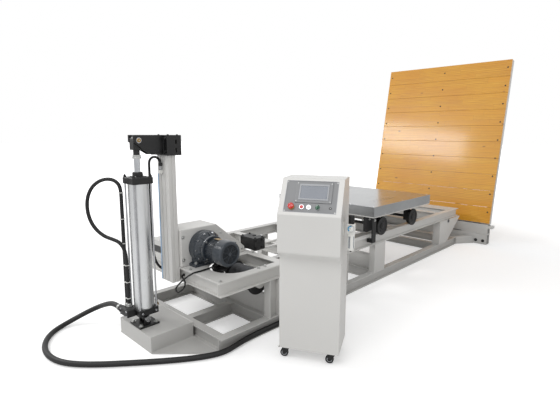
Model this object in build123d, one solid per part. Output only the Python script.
from build123d import *
from math import atan2, cos, pi, radians, sin
import os

# Incline impact tester. Millimetres. X runs along the rails towards the barrier, Y across, Z up.
# The origin is the centre of the base frame on the floor, in the middle of its anchor bolts.

# Rolled beams of the base frame and of the rail frame
beam_height = 100
beam_flange = 68
beam_web = 6
beam_plate = 8

# Base frame
frame_length = 4070
frame_width = 1140
base_cross_spots = [-2001, -1533, -595, 17, 1528, 2001]
short_beam_y = -90
anchor_spacing_x = 3400
anchor_inset = 19
anchor_radius = 7
rail_seat_height = 401
seat_gap = 0.3
post_spots = [-1517, -595]
wide_post_spot = 17
wide_post_length = 200
tube_wall = 6
tie_plate_height = 160
tie_plate_lip = 36

# Nose box that carries the lift cylinder
nose_length = 337
nose_width = 458
nose_height = 122
plate_thickness = 8
gusset_thickness = 10

# Rail pivot
pivot_x = 1683
pivot_z = 380
pivot_pin_radius = 15
pivot_boss_radius = 28
pivot_side_gap = 2
pivot_post_x0 = 1442
pivot_post_x1 = 1615
pivot_gusset_top = 397
pivot_gusset_reach = 2062
pivot_gusset_toe = 1668
pivot_gusset_nose = 12
inner_gusset_reach = 1743
pin_clearance = 0.1
hinge_clearance = 0.25
pin_head_thickness = 8
pin_head_rim = 7

# Rail frame
rail_cross_spots = [-2001, -1399, -1000, -400, 300, 900, 1500]
end_member_width = 62
end_member_slot = 22
end_member_count = 3
track_width = 30
track_height = 12
track_gauge = 120
track_end = -230
carriage_y = -80

# Winch table
table_length = 670
table_plate = 6
table_hole_x = -1745
table_hole_inset = 172
table_hole_radius = 165
table_hole_end = -1440
chain_slot_length = 420
chain_slot_width = 70

table_box_y0 = 150
table_box_width = 190
table_box_depth = 150
table_box_height = 150
table_box_socket_width = 110
table_box_socket_height = 58

# Winch
drum_x = -1600
drum_z = 385
drum_radius = 80
drum_flange_radius = 104
drum_flange = 10
drum_length = 257
drum_side_gap = 6
shaft_radius = 20
bearing_thickness = 24
bearing_side_gap = 14
bearing_half_width = 48
sprocket_y = 10
sprocket_thickness = 16
drive_sprocket_teeth = 17
drum_sprocket_teeth = 17
sprocket_pitch = 25.4
sprocket_tooth_depth = 9

# Geared motor
motor_x = -1840
motor_axis_height = 133
motor_radius = 87
motor_y0 = -440
motor_cowl_radius = 95
motor_cowl_length = 92
motor_flange_radius = 100
motor_flange = 12
terminal_box_x0 = 72
terminal_box_depth = 62
terminal_box_width = 92
terminal_box_y = -300
terminal_box_z0 = -36
terminal_box_height = 84
motor_gland_radius = 10
motor_gland_length = 22
gearbox_y0 = -230
gearbox_y1 = -62
gearbox_radius = 125
gearbox_neck_radius = 92
gearbox_foot_width = 250
gearbox_foot_length = 120
gearbox_foot_height = 22
fin_count = 20
fin_height = 6

# Chain guard
guard_y0 = -100
guard_y1 = 118
guard_x0 = -2031
guard_left_height = 284
guard_flat_length = 325
guard_x1 = -1411
guard_right_height = 47
guard_wall = 3
guard_arch_clearance = 12

# Lift column and head
column_depth = 60
column_width = 150
column_foot = 396
column_groove = 4
column_wall = 10
head_top = 1485
head_skirt = 1341
head_plate = 12
head_box_reach = 45
head_slot_width = 10
head_slot_height = 30
wing_plate = 10
wing_gap = 60
wing_tip_height = 47
wing_root_drop = 136
strip_width = 14
strip_thickness = 3
strip_top = 1205
column_fitting_y = 10
column_fitting_z0 = 1212
column_fitting_height = 24
column_fitting_depth = 28
column_nipple_radius = 11
arc_fitting_top = 1266

# Lift cylinder
cylinder_x = -2292
foot_pin_z = 172
head_pin_z = 1449
lift_angle = 10
foot_pin_radius = 14
head_pin_radius = 14
open_pivot_clearance = 7.5
foot_plate = 15
foot_lug_radius = 22
foot_lug_thickness = 18
tongue_width = 56
tongue_side_gap = 1
cap_size = 152
rear_cap_bottom = 212
rear_cap_height = 44
front_cap_height = 48
barrel_length = 896
barrel_radius = 70
bore_radius = 62.5
gland_radius = 35
gland_height = 33
rod_radius = 20
rod_clearance = 0.3
piston_height = 60
piston_start = 10
rod_eye_width = 58
rod_eye_radius = 34
rod_neck_radius = 22
rod_eye_drop = 65
rod_neck_length = 34
lock_nut_width = 54
lock_nut_height = 22
tie_rod_radius = 6
tie_rod_offset = 63
tie_nut_width = 19
tie_nut_height = 10

# Air block on the rear cap, with the connector of the main hose
air_block_depth = 64
air_block_y0 = -24
air_block_y1 = 88
air_block_rise = 10
connector_x = -2413
connector_z = 242
connector_radius = 24
connector_length = 36
ferrule_radius = 23
ferrule_length = 22
valve_length = 46
valve_radius = 13

# Dolly
dolly_length = 1210
dolly_width = 1268
dolly_left = -235
deck_bottom = 697
deck_height = 108
deck_sheet = 3
deck_lip = 9
deck_beam_flange = 60
wheel_tread_radius = 77
wheel_flange_radius = 94
wheel_flange = 15
wheel_tread_width = 38
wheel_flange_gap = 5
wheel_dish = 8
axle_radius = 15
front_axle_x = 669
rear_axle_x = 10
axle_block_width = 90
axle_block_thickness = 40
axle_block_drop = 38
rear_housing_reach = 205
keeper_x0 = -215
keeper_x1 = -153
keeper_thickness = 14
keeper_gap = 28
keeper_bottom = 443
keeper_hook_height = 36
tow_bar_width = 50
tow_bar_height = 46
tow_bar_length = 260
dolly_travel_front = 1303
dolly_front_gap = 3

# Catch carriage
carriage_x0 = -1358
carriage_length = 116
carriage_width = 190
carriage_height = 104
hook_pivot_height = 62
hook_pin_radius = 8
hook_thickness = 22
hook_length = 92

# Barrier
barrier_width = 1803
barrier_height = 2235
barrier_bottom = 296
board_count = 10
board_thickness = 30
board_seam = 2
upright_depth = 60
upright_width = 60
upright_spots = [-871, -435, 435, 871]
girt_count = 5
foot_beam_lead = 10.4
foot_beam_depth = 110
foot_beam_height = 140
sill_height = 138
sill_setback = 11
brace_width = 68
brace_spread = 230
sill_lug_reach = 55
sill_lug_height = 37
sill_lug_drop = 53
buttress_reach = 600
buttress_height = 1300
strut_size = 60

# Console
console_x = -1707.5
console_y = -1069.5
console_turn = 27.5
console_width = 400
console_depth = 290
console_bottom = 85
console_step = 722
console_step_rise = 32
console_bulge = 60
console_fold = 1003
console_top = 1220
console_top_front = 72
step_radius = 24
fold_radius = 14
sheet = 2.5
door_bottom = 250
door_top = 1180
door_width = 352
door_overlap = 14
door_sheet = 2.5
door_gap = 0.3
door_hinge_radius = 4
door_hinge_length = 60
hose_gland_z = 146
hose_gland_length = 20
hose_gland_radius = 26
hose_gland_run = 74
plate_width = 332
plate_length = 216
plate_start = 21
panel_sheet = 3
panel_sink = 1.5
screen_bezel_width = 232
screen_bezel_length = 140
screen_bezel_height = 8
screen_width = 170
screen_length = 86
screen_u = 16
screen_v = 157
switch_v = 58
estop_u = -117
red_u = -51
white_u = -6
selector_u = 50
key_u = 128
switch_sleeve_radius = 13
switch_collar_radius = 15
switch_bore_radius = 11.3
switch_gap = 0.3
collar_height = 4
switch_block = 30
button_height = 9
estop_radius = 20
estop_height = 22
knob_height = 20
grip_width = 9
press_travel = 3

# Filter regulator on the console's side
regulator_x = 70
regulator_offset = 46
regulator_body_z0 = 884
regulator_body_z1 = 946
regulator_body_width = 50
regulator_knob_radius = 19
regulator_knob_height = 56
regulator_bowl_radius = 22
regulator_bowl_bottom = 776
gauge_radius = 21
gauge_depth = 14
port_radius = 6.6
port_depth = 12

# Casters
caster_wheel_radius = 28
caster_wheel_width = 20
caster_trail = 22
caster_inset_x = 50
caster_y = 155
caster_plate_radius = 27
caster_cheek = 3
caster_axle_radius = 4
caster_pedal = 26

# Worked-out values
half_length = frame_length / 2
half_width = frame_width / 2
beam_y = half_width - beam_flange / 2
bay_y = half_width - beam_flange
rail_top = rail_seat_height + beam_height
table_top = rail_top + table_plate
motor_z = table_top + motor_axis_height
column_x0 = -half_length - column_depth
cylinder_cap_half = cap_size / 2
barrel_bottom = rear_cap_bottom + rear_cap_height
front_cap_bottom = barrel_bottom + barrel_length
front_cap_top = front_cap_bottom + front_cap_height
dolly_right = dolly_left + dolly_length
deck_top = deck_bottom + deck_height
wheel_z = rail_top + wheel_tread_radius + seat_gap
lean = radians(lift_angle)
barrier_reach = dolly_right + dolly_travel_front + dolly_front_gap - pivot_x
barrier_foot_x = pivot_x + (barrier_reach + (barrier_bottom - pivot_z) * sin(lean)) / cos(lean)
foot_beam_x = barrier_foot_x - foot_beam_lead
drum_y0 = -bay_y + bearing_thickness + drum_side_gap + drum_flange
drum_y1 = drum_y0 + drum_length
table_hole_y = -bay_y + table_hole_inset
console_place = Pos(console_x, console_y, 0) * Rot(0, 0, console_turn)
air_block_top = barrel_bottom + air_block_rise
arc_fitting_x = column_x0 - column_fitting_depth / 2
hose_start_y = air_block_y1 + connector_length + ferrule_length
hose_gland_end = console_depth + hose_gland_length
hose_gland_x = console_x + hose_gland_end * cos(radians(console_turn))
hose_gland_y = console_y + hose_gland_end * sin(radians(console_turn))
hose_turn_x = hose_gland_x + hose_gland_run * cos(radians(console_turn))
hose_turn_y = hose_gland_y + hose_gland_run * sin(radians(console_turn))
motor_gland_x = motor_x + terminal_box_x0 + terminal_box_depth / 2
motor_gland_y = terminal_box_y
motor_gland_z = motor_z + terminal_box_z0 - motor_gland_length
end_web_x = -half_length + beam_flange / 2 - beam_web / 2

# Cords: centre lines as lists of points, one tangent arc at each corner
main_hose_radius = 19
main_hose_route = [
    (connector_x, hose_start_y, connector_z), (connector_x, 228, connector_z),
    (-2414, 312, 218), (-2415, 398, 183),
    (-2417, 482, 146), (-2464, 567, 98), (-2550, 618, 50), (-2646, 620, 22), (-2736, 568, 20),
    (-2808, 484, 20), (-2858, 380, 20), (-2882, 266, 20), (-2877, 150, 20), (-2838, 40, 20),
    (-2764, -58, 20), (-2676, -146, 20), (-2578, -230, 20), (-2474, -316, 20), (-2366, -402, 20),
    (-2254, -482, 20), (-2136, -554, 20.5), (-2022, -594, 22), (-1894, -582, 28), (-1752, -563.5, 28.4),
    (-1604, -561, 28.5), (-1460, -564, 28.6), (-1376, -568, 29), (-1303, -601, 27), (-1254, -661, 22),
    (-1237, -737, 30), (-1252, -813, 62), (-1303, -859, 106),
    (hose_turn_x, hose_turn_y, hose_gland_z), (hose_gland_x, hose_gland_y, hose_gland_z),
]
loop_hose_radius = 12.5
loop_hose_route = [
    (-2384, 43, air_block_top), (-2384, 43, 372), (-2384.5, 42, 480), (-2384, 43.5, 570), (-2385, 45, 640),
    (-2394, 55, 700), (-2413, 78, 742), (-2445, 114, 762), (-2483, 156, 782), (-2520, 194, 828),
    (-2545, 220, 888), (-2557, 233, 962), (-2555, 231, 1040), (-2538, 213, 1108), (-2509, 184, 1156),
    (-2470, 145, 1184), (-2424, 106, 1184), (-2391, 80, 1150), (-2384, 71, 1096), (-2385, 71, 1006),
    (-2384, 71.5, 890), (-2385, 70.5, 770), (-2384, 71.5, 640), (-2385, 70.5, 510), (-2384.5, 71, 380),
    (-2384.5, 71, air_block_top),
]
arc_hose_radius = 9
arc_hose_route = [
    (arc_fitting_x, column_fitting_y, arc_fitting_top), (arc_fitting_x, column_fitting_y, 1296),
    (-2117, 27, 1321), (-2129, 53, 1330), (-2141, 80, 1321), (-2149, 97, 1296), (-2149.5, 98, 1250),
    (-2149, 99, 1170), (-2150, 98, 1050), (-2149, 99, 920), (-2150, 100, 790), (-2148, 99.5, 680),
    (-2143, 101, 590), (-2122, 102, 516), (-2082, 103, 465), (-2036, 103, 450), (end_web_x, 103, 450),
]
motor_cable_radius = 6
motor_cable_route = [
    (motor_gland_x, motor_gland_y, motor_gland_z), (motor_gland_x, motor_gland_y, 566), (-1745, -297, 549),
    (-1764, -291, 536), (-1794, -285, 530), (-1830, -281, 527), (-1868, -279, 521), (-1906, -277.5, 516),
    (-1946, -277, 514), (-1986, -279, 513.5), (-2020, -278, 513.5), (-2045, -277, 514), (-2056, -250, 494),
    (-2058, -222, 477), (-2058, -191, 456), (-2058, -157, 433), (-2058, -120, 404), (-2057, -90, 378),
    (-2057, -68, 358),
    (-2056, -50, 338), (-2055, -49, 323), (-2053, -58, 312), (-2051, -73, 309.5), (-2047, -97, 324),
    (-2043, -130, 351), (-2043, -153, 381), (-2043, -160, 408), (-2043, -146, 429), (-2040, -121, 437),
    (-2032, -101, 441), (-2018, -93.5, 444), (end_web_x, -93.5, 444),
]


def block(x0, x1, y0, y1, z0, z1):
    return Pos((x0 + x1) / 2, (y0 + y1) / 2, (z0 + z1) / 2) * Box(x1 - x0, y1 - y0, z1 - z0)


def cylinder_along_y(radius, y0, y1, x, z):
    return Pos(x, (y0 + y1) / 2, z) * Rot(90, 0, 0) * Cylinder(radius, y1 - y0)


def cylinder_along_x(radius, x0, x1, y, z):
    return Pos((x0 + x1) / 2, y, z) * Rot(0, 90, 0) * Cylinder(radius, x1 - x0)


def upright_cylinder(radius, z0, z1, x, y):
    return Pos(x, y, (z0 + z1) / 2) * Cylinder(radius, z1 - z0)


def slab_xz(points, y0, y1):
    """A plate with its outline in X and Z and its thickness along Y."""
    plane = Plane(origin=(0, y1, 0), x_dir=(1, 0, 0), z_dir=(0, -1, 0))
    return extrude(plane * make_face(Polyline(*points, close=True)), amount=y1 - y0)


def slab_xy(points, z0, z1):
    return extrude(Pos(0, 0, z0) * make_face(Polyline(*points, close=True)), amount=z1 - z0)


def beam_section(height=beam_height, flange=beam_flange):
    recess = (flange - beam_web) / 2
    section = Rectangle(flange, height)
    for side in (-1, 1):
        section -= Pos(side * (beam_web + recess) / 2, 0) * Rectangle(recess, height - 2 * beam_plate)
    return section


def beam_along_x(x0, x1, y, z0, height=beam_height, flange=beam_flange):
    plane = Plane(origin=(x0, y, z0 + height / 2), x_dir=(0, 1, 0), z_dir=(1, 0, 0))
    return extrude(plane * beam_section(height, flange), amount=x1 - x0)


def beam_along_y(y0, y1, x, z0, height=beam_height, flange=beam_flange):
    plane = Plane(origin=(x, y0, z0 + height / 2), x_dir=(1, 0, 0), z_dir=(0, 1, 0))
    return extrude(plane * beam_section(height, flange), amount=y1 - y0)


def beam_upright(x, y, z0, z1):
    plane = Plane(origin=(x, y, z0), x_dir=(0, 1, 0), z_dir=(0, 0, 1))
    return extrude(plane * beam_section(), amount=z1 - z0)


def tube_upright(x0, x1, y0, y1, z0, z1, wall):
    return block(x0, x1, y0, y1, z0, z1) - block(x0 + wall, x1 - wall, y0 + wall, y1 - wall, z0, z1)


def hexagon_prism(width, z0, z1, x, y):
    outline = RegularPolygon(radius=width / 2, side_count=6, major_radius=False)
    return extrude(Pos(x, y, z0) * outline, amount=z1 - z0)


def both_sides(make):
    """The same solids on the near side (-1) and on the far side (+1)."""
    return [solid for side in (-1, 1) for solid in make(side)]


def ordered(a, b):
    return (min(a, b), max(a, b))


def cord_tube(route, radius, name):
    """Straight runs with a tangent arc at each corner, as large as its two runs allow."""
    points = [Vector(*p) for p in route]
    radii = []
    for before, here, after in zip(points, points[1:], points[2:]):
        run_in, run_out = here - before, after - here
        turn = radians(run_in.get_angle(run_out))
        half_turn_tangent = sin(turn / 2) / cos(turn / 2)
        radii.append(0.45 * min(run_in.length, run_out.length) / half_turn_tangent)
    path = FilletPolyline(*points, radius=radii)
    start = Plane(origin=points[0], z_dir=points[1] - points[0])
    tube = sweep(start * Circle(radius), path=path)
    expected = pi * radius ** 2 * path.length
    print(name, "length", round(path.length), "radii", [round(r) for r in radii],
          "volume ratio", round(tube.volume / expected, 4))
    return tube


def base_beams():
    solids = []
    for side in (-1, 1):
        beam = beam_along_x(-half_length, half_length, side * beam_y, 0)
        for end in (-1, 1):
            beam -= upright_cylinder(anchor_radius, -1, beam_plate + 1, end * anchor_spacing_x / 2,
                                     side * (beam_y - anchor_inset))
        solids.append(beam)
    return solids


def base_cross_beams():
    beams = [beam_along_y(-bay_y, bay_y, x, 0) for x in base_cross_spots]
    x0, x1 = base_cross_spots[0] + beam_flange / 2, base_cross_spots[1] - beam_flange / 2
    return beams + [beam_along_x(x0, x1, short_beam_y, 0)]


def nose_box():
    x0, x1, half = -half_length - nose_length, -half_length, nose_width / 2
    body = block(x0, x1, -half, half, 0, nose_height)
    body -= block(x0 + plate_thickness, x1 - plate_thickness, -half + plate_thickness,
                  half - plate_thickness, -1, nose_height - plate_thickness)
    for side in (-1, 1):
        body += slab_xy([(x0, side * half), (x1, side * half), (x1, side * half_width)],
                        0, gusset_thickness)
    return [body]


def support_posts():
    top = rail_seat_height - seat_gap
    half_wide = wide_post_length / 2

    def pair(side):
        posts = [beam_upright(x, side * beam_y, beam_height, top) for x in post_spots]
        y0, y1 = ordered(side * half_width, side * bay_y)
        posts.append(tube_upright(wide_post_spot - half_wide, wide_post_spot + half_wide, y0, y1,
                                  beam_height, top, tube_wall))
        return posts

    solids = both_sides(pair)
    for x in [post_spots[0], wide_post_spot]:
        web = block(x - tube_wall / 2, x + tube_wall / 2, -bay_y, bay_y,
                    beam_height, beam_height + tie_plate_height)
        lip = block(x - tie_plate_lip / 2, x + tie_plate_lip / 2, -bay_y, bay_y,
                    beam_height + tie_plate_height - tube_wall, beam_height + tie_plate_height)
        solids.append(web + lip)
    return solids


def pivot_brackets():
    outer = half_width + pivot_side_gap
    inner = bay_y - pivot_side_gap

    def gusset(reach, y0, y1):
        outline = [(pivot_post_x0, beam_height), (pivot_gusset_toe, beam_height),
                   (reach, pivot_gusset_top - pivot_gusset_nose), (reach, pivot_gusset_top),
                   (pivot_post_x0, pivot_gusset_top)]
        return slab_xz(outline, y0, y1) - cylinder_along_y(pivot_pin_radius + pin_clearance, y0 - 1, y1 + 1,
                                                           pivot_x, pivot_z)

    def pair(side):
        y0, y1 = ordered(side * outer, side * inner)
        solids = [tube_upright(pivot_post_x0, pivot_post_x1, y0, y1, beam_height,
                               rail_seat_height - seat_gap, tube_wall)]
        solids.append(gusset(pivot_gusset_reach, *ordered(side * outer, side * (outer + gusset_thickness))))
        solids.append(gusset(inner_gusset_reach, *ordered(side * inner, side * (inner - gusset_thickness))))
        return solids

    return both_sides(pair)


def headed_pin(radius, x, z, y0, y1, side):
    """A pin along Y with a head at its outer end, on the given side."""
    low, high = ordered(side * y0, side * y1)
    pin = cylinder_along_y(radius, low, high, x, z)
    h0, h1 = ordered(side * y1, side * (y1 + pin_head_thickness))
    return pin + cylinder_along_y(radius + pin_head_rim, h0, h1, x, z)


def hinge_pins():
    outer = half_width + pivot_side_gap + gusset_thickness
    inner = bay_y - pivot_side_gap - gusset_thickness - pin_head_thickness
    pins = both_sides(lambda side: [headed_pin(pivot_pin_radius, pivot_x, pivot_z, inner, outer, side)])
    lug_face = tongue_width / 2 + tongue_side_gap + foot_lug_thickness
    pins.append(headed_pin(foot_pin_radius, cylinder_x, foot_pin_z, -lug_face - pin_head_thickness,
                           lug_face, -1))
    return pins


def cylinder_foot():
    half = cylinder_cap_half
    plate = block(cylinder_x - half, cylinder_x + half, -half, half, nose_height, nose_height + foot_plate)
    inner = tongue_width / 2 + tongue_side_gap
    for side in (-1, 1):
        y0, y1 = ordered(side * inner, side * (inner + foot_lug_thickness))
        plate += block(cylinder_x - foot_lug_radius, cylinder_x + foot_lug_radius, y0, y1,
                       nose_height + foot_plate, foot_pin_z)
        plate += cylinder_along_y(foot_lug_radius, y0, y1, cylinder_x, foot_pin_z)
    reach = inner + foot_lug_thickness + 1
    plate -= cylinder_along_y(foot_pin_radius + pin_clearance, -reach, reach, cylinder_x, foot_pin_z)
    return [plate]


def on_lean(along, depth):
    """X and Z of a point: distance up the barrier's face, and depth behind it."""
    return (barrier_foot_x + along * sin(lean) + depth * cos(lean),
            barrier_bottom + along * cos(lean) - depth * sin(lean))


def barrier_boards():
    pitch = barrier_height / board_count
    boards = []
    for i in range(board_count):
        v0, v1 = i * pitch + board_seam / 2, (i + 1) * pitch - board_seam / 2
        corners = [on_lean(v0, 0), on_lean(v1, 0), on_lean(v1, board_thickness), on_lean(v0, board_thickness)]
        boards.append(slab_xz(corners, -barrier_width / 2, barrier_width / 2))
    return boards


def level_on_lean(depth, z):
    """The point at a given height on the line that lies a given depth behind the face."""
    x0, z0 = on_lean(0, depth)
    return (x0 + (z - z0) * sin(lean) / cos(lean), z)


def barrier_frame():
    front, back = board_thickness, board_thickness + upright_depth
    top_front, top_back = on_lean(barrier_height, front), on_lean(barrier_height, back)
    sill_top = foot_beam_height + sill_height
    foot_front, foot_back = level_on_lean(front, sill_top), level_on_lean(back, sill_top)
    solids = [slab_xz([foot_front, top_front, top_back, foot_back],
                      y - upright_width / 2, y + upright_width / 2) for y in upright_spots]
    step = (barrier_height - upright_width) / (girt_count - 1)
    for i in range(girt_count):
        v0, v1 = i * step, i * step + upright_width
        corners = [on_lean(v0, front), on_lean(v1, front), on_lean(v1, back), on_lean(v0, back)]
        for left, right in zip(upright_spots, upright_spots[1:]):
            solids.append(slab_xz(corners, left + upright_width / 2, right - upright_width / 2))
    solids += both_sides(barrier_strut)
    return solids


def barrier_strut(side):
    y = side * upright_spots[-2]
    back = board_thickness + upright_depth
    high, low = on_lean(buttress_height, back), on_lean(buttress_height - strut_size, back)
    tail = foot_beam_x + foot_beam_depth + buttress_reach
    return [slab_xz([high, low, (tail - 1.2 * strut_size, beam_height), (tail, beam_height)],
                    y - strut_size / 2, y + strut_size / 2)]


def barrier_foot():
    half = barrier_width / 2 - sill_setback
    x0, x1 = foot_beam_x, foot_beam_x + foot_beam_depth
    beam = block(x0, x1, -half, half, 0, foot_beam_height)
    beam -= block(x0 + plate_thickness, x1 - plate_thickness, -half - 1, half + 1,
                  plate_thickness, foot_beam_height - plate_thickness)
    sill = block(x0 + sill_setback, x1, -half, half, foot_beam_height, foot_beam_height + sill_height)
    sill -= block(x0 + sill_setback + plate_thickness, x1 - plate_thickness, -half - 1, half + 1,
                  foot_beam_height + plate_thickness, foot_beam_height + sill_height - plate_thickness)
    lug_top = foot_beam_height + sill_height - sill_lug_drop + sill_lug_height
    for side in (-1, 1):
        y0, y1 = ordered(side * (half - plate_thickness), side * (half + sill_lug_reach))
        sill += block(x0 + sill_setback, x1, y0, y1, lug_top - sill_lug_height, lug_top)
    solids = [beam, sill]

    def side_members(side):
        y = side * upright_spots[-2]
        tail = beam_along_x(x1, x1 + buttress_reach, y, 0)
        outer, inner = half_width - beam_flange, half_width
        brace_outer = half_width + brace_spread - brace_width
        brace = slab_xy([(half_length, side * outer), (half_length, side * inner),
                         (x0, side * brace_outer), (x0, side * (brace_outer - 1.2 * brace_width))],
                        0, beam_height)
        return [tail, brace]

    return solids + both_sides(side_members) + both_sides(
        lambda side: [beam_along_x(half_length, x0, side * beam_y * 0.4, 0)])


def console_profile():
    """Side view of the cabinet: x is 0 at the lower front and grows to the rear."""
    corners = [(0, console_bottom), (0, console_step), (-console_bulge, console_step + console_step_rise),
               (-console_bulge, console_fold), (console_top_front, console_top),
               (console_depth, console_top), (console_depth, console_bottom)]
    face = make_face(Polyline(*corners, close=True))
    rounded = [face.vertices().sort_by_distance(Vector(*corners[i], 0))[0] for i in (1, 2)]
    face = fillet(rounded, step_radius)
    bend = face.vertices().sort_by_distance(Vector(*corners[3], 0))[0]
    return fillet(bend, fold_radius)


def console_slice(profile, y0, y1):
    plane = Plane(origin=(0, y1, 0), x_dir=(1, 0, 0), z_dir=(0, -1, 0))
    return extrude(plane * profile, amount=y1 - y0)


def slope_plane():
    """On the sloping panel: u runs to the operator's right, v up the slope, w outwards."""
    rise, run = console_top - console_fold, console_top_front + console_bulge
    return Plane(origin=(-console_bulge, 0, console_fold), x_dir=(0, -1, 0), z_dir=(-rise, 0, run))


def on_slope(u, v, w, shape):
    return slope_plane() * Pos(u, v, w) * shape


def console_cabinet():
    profile = console_profile()
    half = console_width / 2
    inner_half = half - sheet
    sides = [console_slice(profile, inner_half, half), console_slice(profile, -half, -inner_half)]
    ring = console_slice(profile, -inner_half, inner_half)
    ring -= console_slice(offset(profile, amount=-sheet), -inner_half - 1, inner_half + 1)
    ring -= on_slope(0, plate_start + plate_length / 2, 0, Box(plate_width, plate_length, 8 * sheet))
    ring -= block(console_depth - 2 * sheet, console_depth + 1, -door_width / 2 + door_overlap,
                  door_width / 2 - door_overlap, door_bottom + door_overlap, door_top - door_overlap)
    front, rear = -console_bulge - 1, console_depth + 1
    split_x, step_z = console_depth - 30, console_step - 20
    zones = [(front, rear, console_bottom - 1, console_bottom + 20),
             (front, 40, console_bottom + 20, step_z),
             (front, 60, step_z, console_step + 60),
             (front, 60, console_step + 60, console_fold - 8),
             (front, split_x, console_fold - 8, console_top + 1),
             (split_x, rear, console_top - 20, console_top + 1),
             (split_x, rear, console_bottom + 20, door_bottom + door_overlap),
             (split_x, rear, door_bottom + door_overlap, door_top - door_overlap),
             (split_x, rear, door_top - door_overlap, console_top - 20)]
    panels = []
    for x0, x1, z0, z1 in zones:
        cut = ring & block(x0, x1, -half, half, z0, z1)
        panels += list(cut.solids())
    gland = cylinder_along_x(hose_gland_radius, console_depth, hose_gland_end, 0, hose_gland_z)
    return [console_place * solid for solid in sides + panels + [gland]]


def console_door():
    x0 = console_depth + door_gap
    x1 = x0 + door_sheet
    half = door_width / 2
    door = block(x0, x1, -half, half, door_bottom, door_top)
    hinge_y = -half - door_hinge_radius / 2
    for z in (door_bottom + 90, door_top - 90 - door_hinge_length):
        door += upright_cylinder(door_hinge_radius, z, z + door_hinge_length, x0 + door_hinge_radius, hinge_y)
    lock_z = (door_bottom + door_top) / 2
    door += cylinder_along_x(11, x1 - 1, x1 + 8, half - 24, lock_z)
    return [console_place * door]


def switch_spots():
    return [estop_u, red_u, white_u, selector_u]


def control_plate():
    size_u, size_v = plate_width - 2 * pin_clearance, plate_length - 2 * pin_clearance
    plate = on_slope(0, plate_start + plate_length / 2, -panel_sink - panel_sheet / 2,
                     Box(size_u, size_v, panel_sheet))
    for u in switch_spots():
        plate -= on_slope(u, switch_v, 0, Cylinder(switch_sleeve_radius + pin_clearance, 6 * panel_sheet))
    return [console_place * plate]


def touch_screen():
    w0 = -panel_sink
    bezel = on_slope(screen_u, screen_v, w0 + screen_bezel_height / 2,
                     Box(screen_bezel_width, screen_bezel_length, screen_bezel_height))
    bezel -= on_slope(screen_u, screen_v, w0 + screen_bezel_height,
                      Box(screen_width, screen_length, 2 * sheet))
    glass = on_slope(screen_u, screen_v, w0 + screen_bezel_height - sheet + sheet / 4,
                     Box(screen_width, screen_length, sheet / 2))
    return [console_place * bezel, console_place * glass]


def switch_collars():
    w0 = -panel_sink
    solids = []
    for u in switch_spots():
        depth = panel_sheet + 12
        collar = on_slope(u, switch_v, w0 + collar_height / 2, Cylinder(switch_collar_radius, collar_height))
        collar += on_slope(u, switch_v, w0 - depth / 2, Cylinder(switch_sleeve_radius, depth))
        terminal = Box(switch_block, switch_block, switch_block)
        collar += on_slope(u, switch_v, w0 - depth - switch_block / 2, terminal)
        collar -= on_slope(u, switch_v, w0, Cylinder(switch_bore_radius, 2 * depth))
        solids.append(console_place * collar)
    solids.append(console_place * on_slope(key_u, switch_v, w0 + 1.5, Cylinder(8, 3)))
    return solids


def plunger(u, cap):
    stem = on_slope(u, switch_v, -panel_sink + (button_height - 8) / 2,
                    Cylinder(switch_bore_radius - switch_gap, button_height + 8))
    return [console_place * (stem + cap)] if cap else [console_place * stem]


def estop_head():
    base = -panel_sink + collar_height + press_travel + 1
    head = Cylinder(estop_radius, estop_height - 8)
    head = fillet(head.edges().filter_by(GeomType.CIRCLE).sort_by(Axis.Z)[-1], 5)
    return plunger(estop_u, on_slope(estop_u, switch_v, base + (estop_height - 8) / 2, head))


def red_button():
    return plunger(red_u, None)


def white_button():
    return plunger(white_u, None)


def selector_knob():
    base = -panel_sink + collar_height + switch_gap
    grip = on_slope(selector_u, switch_v, base + knob_height / 2,
                    Box(grip_width, 2 * switch_collar_radius - 3, knob_height))
    disc = on_slope(selector_u, switch_v, base + 2, Cylinder(switch_collar_radius - 1, 4))
    stem = on_slope(selector_u, switch_v, base - 5, Cylinder(switch_bore_radius - switch_gap, 10))
    return [console_place * (stem + disc + grip)]


def regulator_body():
    y = -console_width / 2 - regulator_offset
    half = regulator_body_width / 2
    z0, z1 = regulator_body_z0, regulator_body_z1
    body = block(regulator_x - half, regulator_x + half, y - half, y + half, z0, z1)
    body = fillet(body.edges().filter_by(Axis.Z), 9)
    middle = (z0 + z1) / 2
    body -= cylinder_along_y(port_radius, y - half - 1, y - half + port_depth, regulator_x, middle - 8)
    face = regulator_x - half
    body += cylinder_along_x(gauge_radius, face - gauge_depth, face + 4, y, middle + 6)
    body += block(regulator_x - 20, regulator_x + 20, y + half - 1, -console_width / 2 - 4, z1 - 26, z1 - 4)
    body += block(regulator_x - 32, regulator_x + 32, -console_width / 2 - 4, -console_width / 2,
                  z0 - 10, z1 + 10)
    return [console_place * body]


def regulator_bowl():
    y = -console_width / 2 - regulator_offset
    top = regulator_body_z0
    height = top - regulator_bowl_bottom
    taper = Cone(regulator_bowl_radius - 5, regulator_bowl_radius, height)
    bowl = Pos(regulator_x, y, top - height / 2) * taper
    drain = upright_cylinder(6, regulator_bowl_bottom - 12, regulator_bowl_bottom, regulator_x, y)
    return [console_place * (bowl + drain)]


def regulator_knob():
    y = -console_width / 2 - regulator_offset
    z0 = regulator_body_z1 + seat_gap
    knob = upright_cylinder(regulator_knob_radius, z0, z0 + regulator_knob_height, regulator_x, y)
    knob -= upright_cylinder(regulator_knob_radius + 1, z0 + 12, z0 + 15, regulator_x, y) - upright_cylinder(
        regulator_knob_radius - 2, z0 + 11, z0 + 16, regulator_x, y)
    return [console_place * knob]


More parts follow.
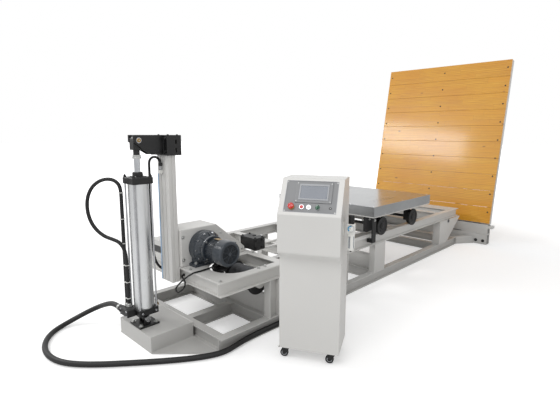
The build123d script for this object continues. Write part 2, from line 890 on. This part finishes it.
def caster_fork(x, y, turn, pedal):
    """A fork under a round plate, built with its wheel trailing along +X, then turned."""
    inside = caster_wheel_width / 2 + 1
    outside = inside + caster_cheek
    crown = 2 * caster_wheel_radius + 6
    fork = upright_cylinder(caster_plate_radius, console_bottom - 4, console_bottom - seat_gap, 0, 0)
    fork += upright_cylinder(13, crown, console_bottom - 4, 0, 0)
    fork += block(-14, caster_trail + 14, -outside, outside, crown, crown + 4)
    for side in (-1, 1):
        y0, y1 = ordered(side * inside, side * outside)
        cheek = [(-14, crown), (caster_trail + 14, crown), (caster_trail + 9, caster_wheel_radius - 9),
                 (caster_trail - 9, caster_wheel_radius - 9)]
        fork += slab_xz(cheek, y0, y1)
    fork += cylinder_along_y(caster_axle_radius, -outside - 2, outside + 2, caster_trail, caster_wheel_radius)
    if pedal:
        fork += block(caster_trail + 10, caster_trail + 14 + caster_pedal, -11, 11, crown + 1, crown + 6)
    return console_place * Pos(x, y, 0) * Rot(0, 0, turn) * fork


def caster_wheel(x, y, turn):
    half = caster_wheel_width / 2
    wheel = cylinder_along_y(caster_wheel_radius, -half, half, caster_trail, caster_wheel_radius)
    wheel = chamfer(wheel.edges().filter_by(GeomType.CIRCLE), 2.5)
    wheel -= cylinder_along_y(caster_axle_radius + hinge_clearance, -half - 1, half + 1,
                              caster_trail, caster_wheel_radius)
    return console_place * Pos(x, y, 0) * Rot(0, 0, turn) * wheel


def rear_caster_spots():
    return [(console_depth - caster_inset_x, side * caster_y) for side in (1, -1)]


def rear_cap():
    half = cylinder_cap_half
    top = barrel_bottom
    cap = block(cylinder_x - half, cylinder_x + half, -half, half, rear_cap_bottom, top)
    cap = chamfer(cap.edges().filter_by(Axis.Z), 6)
    cap += block(cylinder_x - foot_lug_radius, cylinder_x + foot_lug_radius, -tongue_width / 2,
                 tongue_width / 2, foot_pin_z, rear_cap_bottom)
    cap += cylinder_along_y(foot_lug_radius, -tongue_width / 2, tongue_width / 2, cylinder_x, foot_pin_z)
    cap -= cylinder_along_y(foot_pin_radius + hinge_clearance, -tongue_width, tongue_width,
                            cylinder_x, foot_pin_z)
    return [cap]


def barrel():
    tube = upright_cylinder(barrel_radius, barrel_bottom, front_cap_bottom, cylinder_x, 0)
    return [tube - upright_cylinder(bore_radius, barrel_bottom, front_cap_bottom, cylinder_x, 0)]


def front_cap():
    half = cylinder_cap_half
    cap = block(cylinder_x - half, cylinder_x + half, -half, half, front_cap_bottom, front_cap_top)
    cap = chamfer(cap.edges().filter_by(Axis.Z), 6)
    cap += upright_cylinder(gland_radius, front_cap_top, front_cap_top + gland_height, cylinder_x, 0)
    cap -= upright_cylinder(rod_radius + rod_clearance, front_cap_bottom - 1,
                            front_cap_top + gland_height + 1, cylinder_x, 0)
    return [cap]


def tie_rods():
    solids = []
    for sx in (-1, 1):
        for sy in (-1, 1):
            x, y = cylinder_x + sx * tie_rod_offset, sy * tie_rod_offset
            solids.append(upright_cylinder(tie_rod_radius, barrel_bottom, front_cap_bottom, x, y))
            solids.append(hexagon_prism(tie_nut_width, front_cap_top, front_cap_top + tie_nut_height, x, y))
    return solids


def air_fittings():
    face = cylinder_x - cylinder_cap_half
    body = block(face - air_block_depth, face, air_block_y0, air_block_y1, rear_cap_bottom, air_block_top)
    y = air_block_y1 + connector_length
    connector = Pos(connector_x, air_block_y1, connector_z) * Rot(-90, 0, 0) * extrude(
        RegularPolygon(radius=connector_radius, side_count=6, major_radius=False), amount=connector_length)
    ferrule = cylinder_along_y(ferrule_radius, y, y + ferrule_length, connector_x, connector_z)
    right = cylinder_x + cylinder_cap_half
    z = rear_cap_bottom + rear_cap_height / 2
    valve = cylinder_along_x(valve_radius, right, right + valve_length, 20, z)
    valve += upright_cylinder(valve_radius - 3, z, z + 40, right + valve_length - 14, 20)
    return [body, connector, ferrule, valve]


def piston():
    z0 = barrel_bottom + piston_start
    disc = upright_cylinder(bore_radius - rod_clearance, z0, z0 + piston_height, cylinder_x, 0)
    return [disc - upright_cylinder(rod_radius - 6, z0 - 1, z0 + piston_height + 1, cylinder_x, 0)]


def piston_rod():
    z0 = barrel_bottom + piston_start + piston_height
    top = head_pin_z - rod_eye_drop - rod_neck_length
    rod = upright_cylinder(rod_radius, z0, top, cylinder_x, 0)
    return [rod + upright_cylinder(rod_radius - 6, z0 - piston_height, z0, cylinder_x, 0)]


def rod_clevis():
    base = head_pin_z - rod_eye_drop
    half = rod_eye_width / 2
    eye = block(cylinder_x - rod_eye_radius, cylinder_x + rod_eye_radius, -half, half, base, head_pin_z)
    eye += cylinder_along_y(rod_eye_radius, -half, half, cylinder_x, head_pin_z)
    eye += upright_cylinder(rod_neck_radius, base - rod_neck_length, base, cylinder_x, 0)
    bore = head_pin_radius + open_pivot_clearance
    eye -= cylinder_along_y(bore, -half - 1, half + 1, cylinder_x, head_pin_z)
    nut_top = base - rod_neck_length
    nut = hexagon_prism(lock_nut_width, nut_top - lock_nut_height, nut_top, cylinder_x, 0)
    nut -= upright_cylinder(rod_radius + pin_clearance, nut_top - lock_nut_height - 1, nut_top + 1,
                            cylinder_x, 0)
    return [eye, nut]


def rail_beams():
    def one(side):
        beam = beam_along_x(-half_length, half_length, side * beam_y, rail_seat_height)
        y0, y1 = ordered(side * (half_width - 1), side * (bay_y + 1))
        beam += cylinder_along_y(pivot_boss_radius, y0, y1, pivot_x, pivot_z)
        return [beam - cylinder_along_y(pivot_pin_radius + hinge_clearance, y0 - 1, y1 + 1, pivot_x, pivot_z)]

    return both_sides(one)


def rail_cross_members():
    solids = [beam_along_y(-bay_y, bay_y, x, rail_seat_height) for x in rail_cross_spots]
    pitch = end_member_width + end_member_slot
    for i in range(end_member_count):
        x = half_length - end_member_width / 2 - i * pitch
        solids.append(beam_along_y(-bay_y, bay_y, x, rail_seat_height, flange=end_member_width))
    start = -half_length + table_length
    for side in (-1, 1):
        y = carriage_y + side * track_gauge / 2
        solids.append(block(start, track_end, y - track_width / 2, y + track_width / 2,
                            rail_top, rail_top + track_height))
    return solids


def winch_table():
    x0, x1 = -half_length, -half_length + table_length
    plate = block(x0, x1, -half_width, half_width, rail_top, table_top)
    plate -= upright_cylinder(table_hole_radius, rail_top - 1, table_top + 1, table_hole_x, table_hole_y)
    plate -= block(table_hole_x, table_hole_end, table_hole_y - table_hole_radius,
                   table_hole_y + table_hole_radius, rail_top - 1, table_top + 1)
    slot_x = (motor_x + drum_x) / 2
    plate -= block(slot_x - chain_slot_length / 2, slot_x + chain_slot_length / 2,
                   sprocket_y - chain_slot_width / 2, sprocket_y + chain_slot_width / 2,
                   rail_top - 1, table_top + 1)
    return [plate, table_box()] + drum_bearings()


def table_box():
    """A closed terminal box at the far corner of the table, with a sunk socket in its outer face."""
    x0, y1 = -half_length + 4, table_box_y0 + table_box_width
    box = block(x0, x0 + table_box_depth, table_box_y0, y1, table_top, table_top + table_box_height)
    middle_y, middle_z = (table_box_y0 + y1) / 2, table_top + table_box_height / 2
    half_y, half_z = table_box_socket_width / 2, table_box_socket_height / 2
    return box - block(x0 - 1, x0 + 6, middle_y - half_y, middle_y + half_y,
                       middle_z - half_z, middle_z + half_z)


def drum_bearings():
    solids = []
    far_y = drum_y1 + drum_flange + bearing_side_gap
    for y0, y1, top in ((-bay_y, -bay_y + bearing_thickness, rail_top),
                        (far_y, far_y + bearing_thickness, rail_top)):
        hanger = block(drum_x - bearing_half_width, drum_x + bearing_half_width, y0, y1, drum_z, top)
        hanger += cylinder_along_y(bearing_half_width, y0, y1, drum_x, drum_z)
        bore = cylinder_along_y(shaft_radius + hinge_clearance, y0 - 1, y1 + 1, drum_x, drum_z)
        solids.append(hanger - bore)
    return solids


def sprocket_outline(teeth):
    """Teeth as arcs sunk between the pitch points of a roller chain."""
    pitch_radius = sprocket_pitch / (2 * sin(pi / teeth))
    face = Circle(pitch_radius + sprocket_tooth_depth / 2)
    roller = Circle(sprocket_pitch * 0.31)
    for i in range(teeth):
        face -= Rot(0, 0, 360 * i / teeth) * Pos(pitch_radius, 0) * roller
        face -= Rot(0, 0, 360 * i / teeth) * Pos(pitch_radius + sprocket_tooth_depth / 2, 0) * Rectangle(
            sprocket_tooth_depth, sprocket_pitch * 0.58)
    return face


def sprocket(teeth, x, z):
    plane = Plane(origin=(x, sprocket_y + sprocket_thickness / 2, z), x_dir=(1, 0, 0), z_dir=(0, -1, 0))
    return extrude(plane * sprocket_outline(teeth), amount=sprocket_thickness)


def winch_drum():
    drum = cylinder_along_y(drum_radius, drum_y0, drum_y1, drum_x, drum_z)
    drum += cylinder_along_y(drum_flange_radius, drum_y0 - drum_flange, drum_y0, drum_x, drum_z)
    drum += cylinder_along_y(drum_flange_radius, drum_y1, drum_y1 + drum_flange, drum_x, drum_z)
    drum += cylinder_along_y(shaft_radius, -bay_y + 2, sprocket_y + 30, drum_x, drum_z)
    return [drum + sprocket(drum_sprocket_teeth, drum_x, drum_z)]


def drive_sprocket():
    wheel = sprocket(drive_sprocket_teeth, motor_x, motor_z)
    start = gearbox_y1 + seat_gap
    return [wheel + cylinder_along_y(shaft_radius, start, sprocket_y + 30, motor_x, motor_z)]


def gearbox():
    """The bell is turned about the motor's axis; the foot is cast on below."""
    length = gearbox_y1 - gearbox_y0
    half_outline = Polyline((0, 0), (gearbox_neck_radius, 0), (gearbox_neck_radius + 4, 0.2 * length),
                            (gearbox_radius, 0.34 * length), (gearbox_radius, 0.88 * length),
                            (gearbox_radius - 14, length), (0, length), close=True)
    body = Pos(motor_x, gearbox_y0, motor_z) * revolve(make_face(half_outline), axis=Axis.Y)
    foot_y1 = gearbox_y1
    foot_y0 = foot_y1 - gearbox_foot_length
    half = gearbox_foot_width / 2
    body += block(motor_x - half, motor_x + half, foot_y0, foot_y1,
                  table_top, table_top + gearbox_foot_height)
    low, high = half - 26, gearbox_radius - 22
    neck = slab_xz([(motor_x - low, table_top), (motor_x + low, table_top),
                    (motor_x + high, motor_z - 40), (motor_x - high, motor_z - 40)],
                   foot_y0 + 12, foot_y1 - 12)
    return [body + neck]


def motor():
    y1 = gearbox_y0
    cowl_y1 = motor_y0 + motor_cowl_length
    body = cylinder_along_y(motor_radius - fin_height, cowl_y1, y1 - motor_flange, motor_x, motor_z)
    for i in range(fin_count):
        angle = 360 * i / fin_count
        fin = Pos(motor_x, (cowl_y1 + y1 - motor_flange) / 2, motor_z) * Rot(0, angle, 0) * Pos(
            motor_radius - fin_height, 0, 0) * Box(2 * fin_height, y1 - motor_flange - cowl_y1, 4)
        body += fin
    body += cylinder_along_y(motor_flange_radius, y1 - motor_flange, y1, motor_x, motor_z)
    cowl = cylinder_along_y(motor_cowl_radius, motor_y0, cowl_y1, motor_x, motor_z)
    cowl = fillet(cowl.edges().filter_by(GeomType.CIRCLE).sort_by(Axis.Y)[0], 16)
    cowl -= cylinder_along_y(motor_cowl_radius - 24, motor_y0 - 1, motor_y0 + 5, motor_x, motor_z)
    x0, z0 = motor_x + terminal_box_x0, motor_z + terminal_box_z0
    box = block(x0, x0 + terminal_box_depth, terminal_box_y - terminal_box_width / 2,
                terminal_box_y + terminal_box_width / 2, z0, z0 + terminal_box_height)
    gland = upright_cylinder(motor_gland_radius, motor_gland_z, z0, motor_gland_x, motor_gland_y)
    return [body + cowl + box + gland]


def guard_outline(inset):
    top = table_top + guard_left_height
    slope_top = (guard_x0 + guard_flat_length, top)
    slope_end = (guard_x1, table_top + guard_right_height)
    tilt = atan2(slope_top[1] - slope_end[1], slope_end[0] - slope_top[0])
    shift = inset * (1 - cos(tilt)) / sin(tilt)
    side_shift = inset * (1 - sin(tilt)) / cos(tilt)
    return [(guard_x0 + inset, table_top), (guard_x0 + inset, top - inset),
            (slope_top[0] - shift, top - inset), (slope_end[0] - inset, slope_end[1] - side_shift),
            (guard_x1 - inset, table_top)]


def chain_guard():
    guard = slab_xz(guard_outline(0), guard_y0, guard_y1)
    guard -= slab_xz(guard_outline(guard_wall), guard_y0 + guard_wall, guard_y1 - guard_wall)
    arch = gearbox_radius + guard_arch_clearance
    near = (guard_y0 - 1, guard_y0 + guard_wall + 1)
    guard -= cylinder_along_y(arch, *near, motor_x, motor_z)
    guard -= block(motor_x - arch, motor_x + arch, *near, table_top - 1, motor_z)
    return [guard]


def lift_column():
    x0, x1, half = column_x0, -half_length, column_width / 2
    top = head_top - head_plate
    column = block(x0, x1, -half, half, column_foot, top)
    column -= block(x0 + column_wall, x1 - column_wall, -half + column_wall, half - column_wall,
                    column_foot - 1, top + 1)
    for y in (-half / 3, half / 3):
        column -= block(x0 - 1, x0 + column_groove, y - 5, y + 5, column_foot - 1, top + 1)
    for side in (-1, 1):
        y0, y1 = ordered(side * (half - column_groove), side * (half + 1))
        column -= block(x0 + 24, x0 + 32, y0, y1, column_foot - 1, top + 1)
    return [column]


def lift_head():
    x0 = column_x0 - head_plate
    x1 = -half_length + head_box_reach
    half = column_width / 2 + head_plate
    head = block(x0, x1, -half, half, head_skirt, head_top)
    head -= block(column_x0, x1 - head_plate, -column_width / 2, column_width / 2,
                  head_skirt - 1, head_top - head_plate)
    slot_x = (column_x0 + x1) / 2 + 10
    for z in (head_top - 48, head_top - 108):
        head -= block(slot_x - head_slot_width / 2, slot_x + head_slot_width / 2, -half - 1,
                      -column_width / 2 + 1, z - head_slot_height / 2, z + head_slot_height / 2)
    tip = cylinder_x - 38
    outline = [(tip, head_top), (tip, head_top - wing_tip_height), (cylinder_x + 28, head_top - 98),
               (cylinder_x + 92, head_top - wing_root_drop), (x0, head_top - wing_root_drop), (x0, head_top)]
    for side in (-1, 1):
        y0, y1 = ordered(side * wing_gap / 2, side * (wing_gap / 2 + wing_plate))
        wing = slab_xz(outline, y0, y1)
        head += wing - cylinder_along_y(head_pin_radius + pin_clearance, y0 - 1, y1 + 1,
                                        cylinder_x, head_pin_z)
    head += block(cylinder_x + 60, x0, -wing_gap / 2, wing_gap / 2, head_top - wing_plate, head_top)
    return [head]


def head_pin():
    face = wing_gap / 2 + wing_plate
    return [headed_pin(head_pin_radius, cylinder_x, head_pin_z, -face - pin_head_thickness, face, 1)]


def column_strip():
    half = column_width / 2
    strip = block(column_x0 - strip_thickness, column_x0, half - strip_width, half, column_foot, strip_top)
    y = column_fitting_y
    middle = column_fitting_z0 + column_fitting_height
    body = block(column_x0 - column_fitting_depth, column_x0, y - 12, y + 12, column_fitting_z0, middle)
    nipple = upright_cylinder(column_nipple_radius, middle, arc_fitting_top, arc_fitting_x, y)
    return [strip, body + nipple]


def deck_frame():
    x0, x1 = dolly_left + deck_sheet, dolly_right - deck_sheet
    half = dolly_width / 2 - deck_sheet
    height = deck_height - deck_sheet
    flange = deck_beam_flange
    side_y = half - flange / 2
    solids = both_sides(lambda side: [beam_along_x(x0, x1, side * side_y, deck_bottom, height, flange)])
    for x in (x0 + flange / 2, rear_axle_x, front_axle_x, x1 - flange / 2):
        solids.append(beam_along_y(-half + flange, half - flange, x, deck_bottom, height, flange))
    return solids


def deck_plate():
    x0, x1, half = dolly_left, dolly_right, dolly_width / 2
    low = deck_bottom + deck_lip
    under = deck_top - deck_sheet
    solids = [block(x0, x1, -half, half, under, deck_top),
              block(x0, x0 + deck_sheet, -half, half, low, under),
              block(x1 - deck_sheet, x1, -half, half, low, under)]
    for side in (-1, 1):
        y0, y1 = ordered(side * half, side * (half - deck_sheet))
        solids.append(block(x0 + deck_sheet, x1 - deck_sheet, y0, y1, low, under))
    return solids


def axle_brackets():
    inner = half_width - wheel_tread_width + wheel_flange_gap
    y_out = inner - 7
    y_in = y_out - axle_block_thickness
    keeper_y = half_width + keeper_gap

    def side_set(side):
        y0, y1 = ordered(side * y_out, side * y_in)
        front = block(front_axle_x - axle_block_width / 2, front_axle_x + axle_block_width / 2, y0, y1,
                      wheel_z - axle_block_drop, deck_bottom)
        rear = block(rear_axle_x - rear_housing_reach, rear_axle_x + axle_block_width / 2, y0, y1,
                     wheel_z - axle_block_drop, deck_bottom)
        holes = [cylinder_along_y(axle_radius + hinge_clearance, y0 - 1, y1 + 1, x, wheel_z)
                 for x in (front_axle_x, rear_axle_x)]
        k0, k1 = ordered(side * keeper_y, side * (keeper_y + keeper_thickness))
        keeper = block(keeper_x0, keeper_x1, k0, k1, keeper_bottom, deck_bottom)
        h0, h1 = ordered(side * (half_width - 24), side * keeper_y)
        keeper += block(keeper_x0 + 8, keeper_x1 - 8, h0, h1,
                        keeper_bottom, keeper_bottom + keeper_hook_height)
        return [front - holes[0], rear - holes[1], keeper]

    tow = block(dolly_left + 2, dolly_left + 2 + tow_bar_width, carriage_y - tow_bar_length / 2,
                carriage_y + tow_bar_length / 2, deck_bottom - tow_bar_height, deck_bottom)
    return both_sides(side_set) + [tow]


def wheelset(x):
    tread_out = half_width + wheel_flange_gap
    tread_in = tread_out - wheel_tread_width
    solid = cylinder_along_y(axle_radius, -tread_in, tread_in, x, wheel_z)
    for side in (-1, 1):
        t0, t1 = ordered(side * tread_in, side * tread_out)
        f0, f1 = ordered(side * tread_out, side * (tread_out + wheel_flange))
        wheel = cylinder_along_y(wheel_tread_radius, t0, t1, x, wheel_z)
        wheel += cylinder_along_y(wheel_flange_radius, f0, f1, x, wheel_z)
        face = tread_out + wheel_flange
        d0, d1 = ordered(side * (face - wheel_dish), side * (face + 1))
        dish = cylinder_along_y(wheel_tread_radius - 12, d0, d1, x, wheel_z)
        hub = cylinder_along_y(axle_radius + 16, d0, d1, x, wheel_z)
        solid += wheel - (dish - hub)
    return [solid]


def catch_carriage():
    x0, x1 = carriage_x0, carriage_x0 + carriage_length
    z0 = rail_top + track_height + seat_gap
    half = carriage_width / 2
    body = block(x0, x1, carriage_y - half, carriage_y + half, z0, z0 + carriage_height)
    slot_half = hook_thickness / 2 + 1
    body -= block(x1 - 60, x1 + 1, carriage_y - slot_half, carriage_y + slot_half,
                  z0 + 24, z0 + carriage_height + 1)
    pin_z = z0 + hook_pivot_height
    body += cylinder_along_y(hook_pin_radius, carriage_y - slot_half, carriage_y + slot_half, x1 - 32, pin_z)
    return [body]


def catch_hook():
    z = rail_top + track_height + seat_gap + hook_pivot_height
    x = carriage_x0 + carriage_length - 32
    y0, y1 = carriage_y - hook_thickness / 2, carriage_y + hook_thickness / 2
    tip = x + hook_length
    outline = [(x - 14, z - 14), (tip, z - 14), (tip, z + 12), (tip - 12, z + 34), (tip - 26, z + 34),
               (tip - 26, z + 12), (x - 14, z + 14)]
    hook = slab_xz(outline, y0, y1)
    return [hook - cylinder_along_y(hook_pin_radius + hinge_clearance, y0 - 1, y1 + 1, x, z)]


def write_node(name, solids):
    export_step(Compound(children=list(solids), label=name), f"parts/{name}.step")


def write_all():
    os.makedirs("parts", exist_ok=True)
    makers = [base_beams, base_cross_beams, nose_box, support_posts, pivot_brackets, hinge_pins,
              barrier_foot, barrier_frame, barrier_boards, cylinder_foot, console_cabinet, console_door,
              control_plate, touch_screen, switch_collars, estop_head, red_button, white_button,
              selector_knob, regulator_body, regulator_bowl, regulator_knob, rear_cap, barrel, front_cap,
              tie_rods, air_fittings, piston, piston_rod, rod_clevis, rail_beams, rail_cross_members,
              winch_table, lift_column, lift_head, head_pin, gearbox, motor, chain_guard, column_strip,
              winch_drum, drive_sprocket, catch_carriage, catch_hook, deck_frame, deck_plate, axle_brackets]
    for make in makers:
        write_node(make.__name__, make())
    write_node("front_wheelset", wheelset(front_axle_x))
    write_node("rear_wheelset", wheelset(rear_axle_x))
    for name, y in (("left", caster_y), ("right", -caster_y)):
        write_node(f"front_{name}_caster_fork", [caster_fork(caster_inset_x, y, 90, True)])
        write_node(f"front_{name}_caster_wheel", [caster_wheel(caster_inset_x, y, 90)])
    write_node("rear_caster_forks", [caster_fork(x, y, 180, False) for x, y in rear_caster_spots()])
    for name, (x, y) in zip(("left", "right"), rear_caster_spots()):
        write_node(f"rear_{name}_caster_wheel", [caster_wheel(x, y, 180)])
    write_node("main_air_hose", [cord_tube(main_hose_route, main_hose_radius, "main_air_hose")])
    write_node("loop_hose", [cord_tube(loop_hose_route, loop_hose_radius, "loop_hose")])
    write_node("arc_hose", [cord_tube(arc_hose_route, arc_hose_radius, "arc_hose")])
    write_node("motor_cable", [cord_tube(motor_cable_route, motor_cable_radius, "motor_cable")])


write_all()
